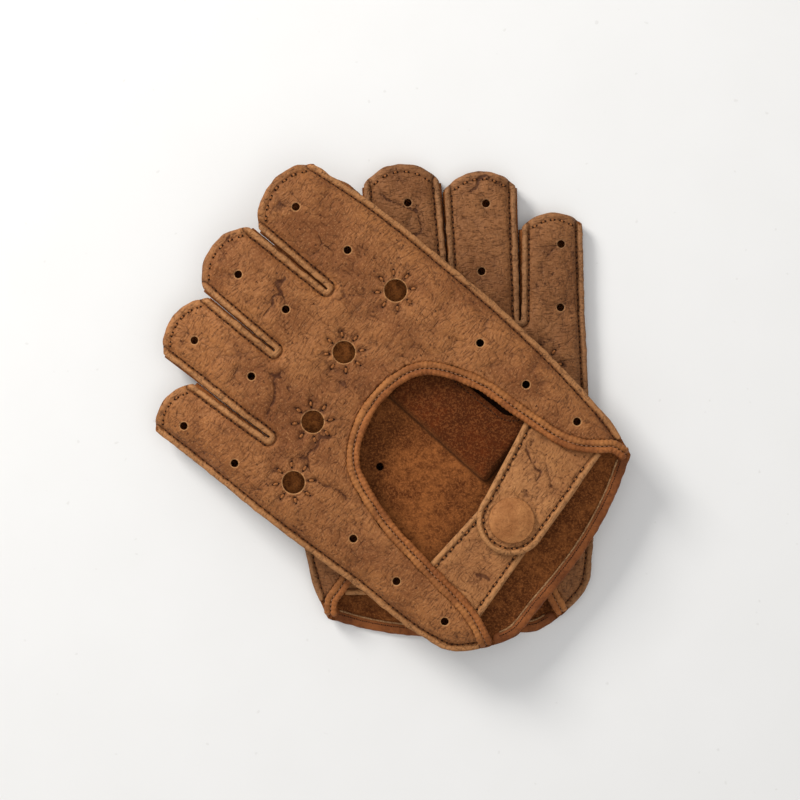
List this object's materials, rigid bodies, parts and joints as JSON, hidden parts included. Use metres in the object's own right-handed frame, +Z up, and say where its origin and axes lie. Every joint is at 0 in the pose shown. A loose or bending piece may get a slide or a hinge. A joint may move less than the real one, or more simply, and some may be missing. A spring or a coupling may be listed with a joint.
{
  "type": "leather gloves",
  "caption": "Pair of half-finger driving gloves in soft tan leather, with knuckle holes, an open back and a snap strap at each wrist, lying crossed.",
  "frame": {"origin": "middle of the pair's plan, on the table that the right glove lies on", "axes": "+Z up from the table; +Y the way the right glove's fingers point; +X to that glove's pinky side"},
  "size_m": [0.179, 0.1842, 0.0294],
  "materials": {
    "glove_hide": "soft tan pigskin with pores and creases, suede inside",
    "binding_leather": "smooth rolled leather binding",
    "cap_leather": "smooth tan leather over the snap cap",
    "snap_brass": "plated brass snap parts",
    "seam_thread": "waxed brown sewing thread"
  },
  "bodies": {
    "right_glove": {"right_back_panel": "glove_hide", "right_palm_panel": "glove_hide", "right_thumb_stall": "glove_hide", "right_fourchette_index_middle": "glove_hide", "right_fourchette_middle_ring": "glove_hide", "right_fourchette_ring_pinky": "glove_hide", "right_opening_outer_roll": "binding_leather", "right_opening_inner_roll": "binding_leather", "right_wrist_binding": "binding_leather", "right_strap_root": "glove_hide", "right_stud_tab": "glove_hide", "right_snap_stud": "snap_brass", "right_stud_eyelet": "snap_brass", "right_outseam_thread": "seam_thread", "right_fingertip_thread": "seam_thread", "right_opening_thread": "seam_thread", "right_wrist_thread": "seam_thread", "right_tab_thread": "seam_thread", "right_knuckle_thread": "seam_thread", "right_thumb_thread": "seam_thread"},
    "right_strap": {"right_snap_strap": "glove_hide", "right_snap_cap_cover": "cap_leather", "right_snap_cap_shell": "snap_brass", "right_snap_socket": "snap_brass", "right_strap_thread": "seam_thread"},
    "left_glove": {"left_back_panel": "glove_hide", "left_palm_panel": "glove_hide", "left_thumb_stall": "glove_hide", "left_fourchette_index_middle": "glove_hide", "left_fourchette_middle_ring": "glove_hide", "left_fourchette_ring_pinky": "glove_hide", "left_opening_outer_roll": "binding_leather", "left_opening_inner_roll": "binding_leather", "left_wrist_binding": "binding_leather", "left_strap_root": "glove_hide", "left_stud_tab": "glove_hide", "left_snap_stud": "snap_brass", "left_stud_eyelet": "snap_brass", "left_outseam_thread": "seam_thread", "left_fingertip_thread": "seam_thread", "left_opening_thread": "seam_thread", "left_wrist_thread": "seam_thread", "left_tab_thread": "seam_thread", "left_knuckle_thread": "seam_thread", "left_thumb_thread": "seam_thread"},
    "left_strap": {"left_snap_strap": "glove_hide", "left_snap_cap_cover": "cap_leather", "left_snap_cap_shell": "snap_brass", "left_snap_socket": "snap_brass", "left_strap_thread": "seam_thread"}
  },
  "joints": [
    {"name": "left_glove_lift", "type": "slide", "parent": "right_glove", "child": "left_glove", "axis": [0, 0, 1], "range_m": [0, 0.15]},
    {"name": "left_strap_fold", "type": "hinge", "parent": "left_glove", "child": "left_strap", "pos_m": [0.0597, -0.01614, 0.0267], "axis": [-0.7782, 0.628, 0], "range_deg": [0, 140]},
    {"name": "right_strap_fold", "type": "hinge", "parent": "right_glove", "child": "right_strap", "pos_m": [-0.0085, -0.05566, 0.0118], "axis": [0.0593, -0.9982, 0], "range_deg": [0, 140]}
  ],
  "couplings": [
    {"joint": "right_strap_fold", "follows": "left_glove_lift", "rad_per_m": 16.28}
  ]
}
